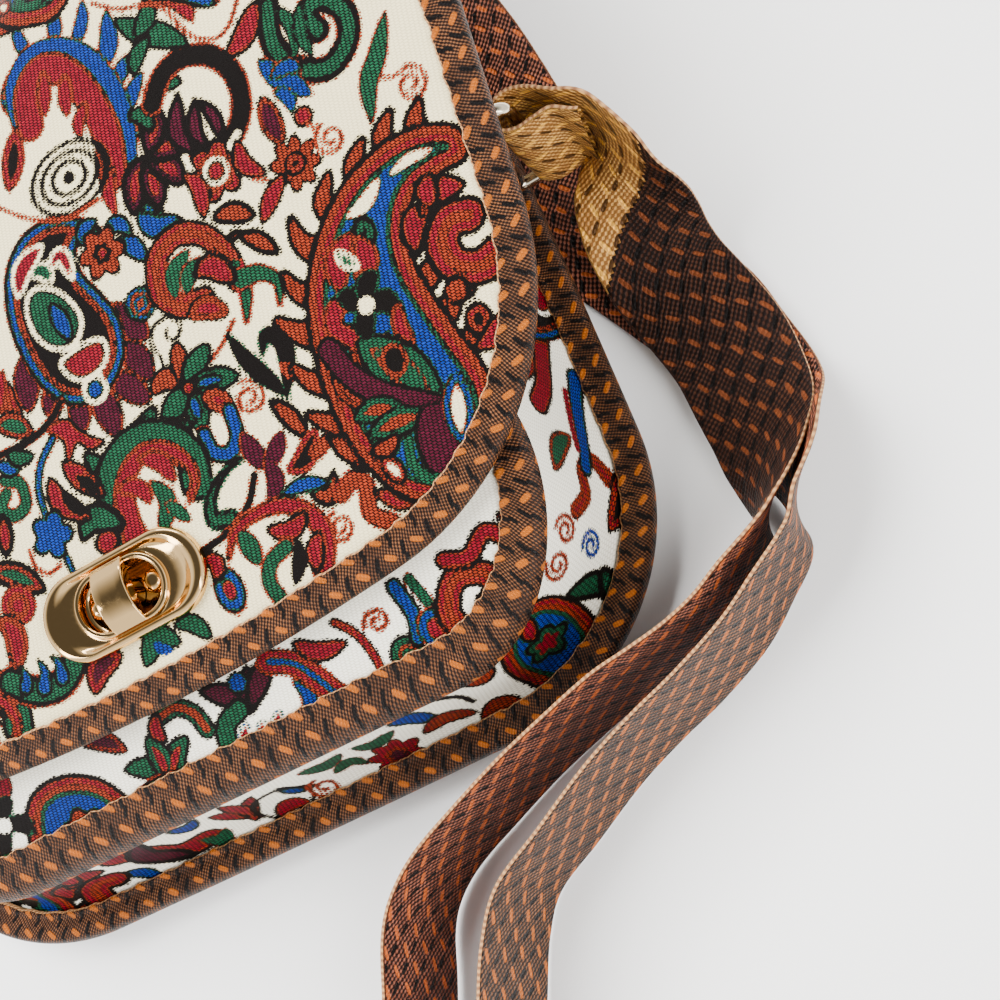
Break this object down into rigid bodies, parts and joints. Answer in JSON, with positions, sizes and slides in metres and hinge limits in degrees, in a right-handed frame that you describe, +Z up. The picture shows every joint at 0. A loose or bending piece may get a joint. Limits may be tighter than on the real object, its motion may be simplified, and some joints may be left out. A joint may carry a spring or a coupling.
{
  "type": "crossbody bag",
  "caption": "Flap-front crossbody bag in paisley cloth with bound seams, a brass turn lock and a long cloth strap, lying on its back.",
  "frame": {"origin": "middle of the flat spot of the back panel that the bag rests on", "axes": "+X to the bag's right, +Y to its top fold, +Z up and out of its front"},
  "size_m": [0.2854, 0.413, 0.0728],
  "materials": {
    "paisley_cloth": "cream cotton jacquard with a many-coloured paisley pattern",
    "ribbon_cloth": "brown, black and orange woven ribbon cut on the bias",
    "lock_metal": "polished light gold plating",
    "ring_metal": "polished pale metal"
  },
  "bodies": {
    "bag": {"back_panel": "paisley_cloth", "front_panel": "paisley_cloth", "gusset": "paisley_cloth", "flap": "paisley_cloth", "back_binding": "ribbon_cloth", "front_binding": "ribbon_cloth", "mouth_binding": "ribbon_cloth", "flap_binding": "ribbon_cloth", "right_ring_tab": "ribbon_cloth", "left_ring_tab": "ribbon_cloth", "strap": "ribbon_cloth", "lock_plate": "lock_metal", "lock_washer": "lock_metal", "lock_base": "lock_metal", "lock_base_washer": "lock_metal", "right_lock_rivet": "lock_metal", "left_lock_rivet": "lock_metal"},
    "knob": {"lock_knob": "lock_metal"},
    "ring_right": {"right_ring": "ring_metal"},
    "ring_left": {"left_ring": "ring_metal"}
  },
  "joints": [
    {"name": "lock_knob_turn", "type": "hinge", "parent": "bag", "child": "knob", "pos_m": [0, -0.0555, 0.052], "axis": [0, -0.1959, 0.9806], "range_deg": [0, 90]},
    {"name": "right_ring_swing", "type": "hinge", "parent": "bag", "child": "ring_right", "pos_m": [0.1035, 0.002, 0.031], "axis": [0, 0, 1], "range_deg": [-8, 8]},
    {"name": "left_ring_swing", "type": "hinge", "parent": "bag", "child": "ring_left", "pos_m": [-0.1035, 0.002, 0.031], "axis": [0, 0, 1], "range_deg": [-8, 8]}
  ]
}
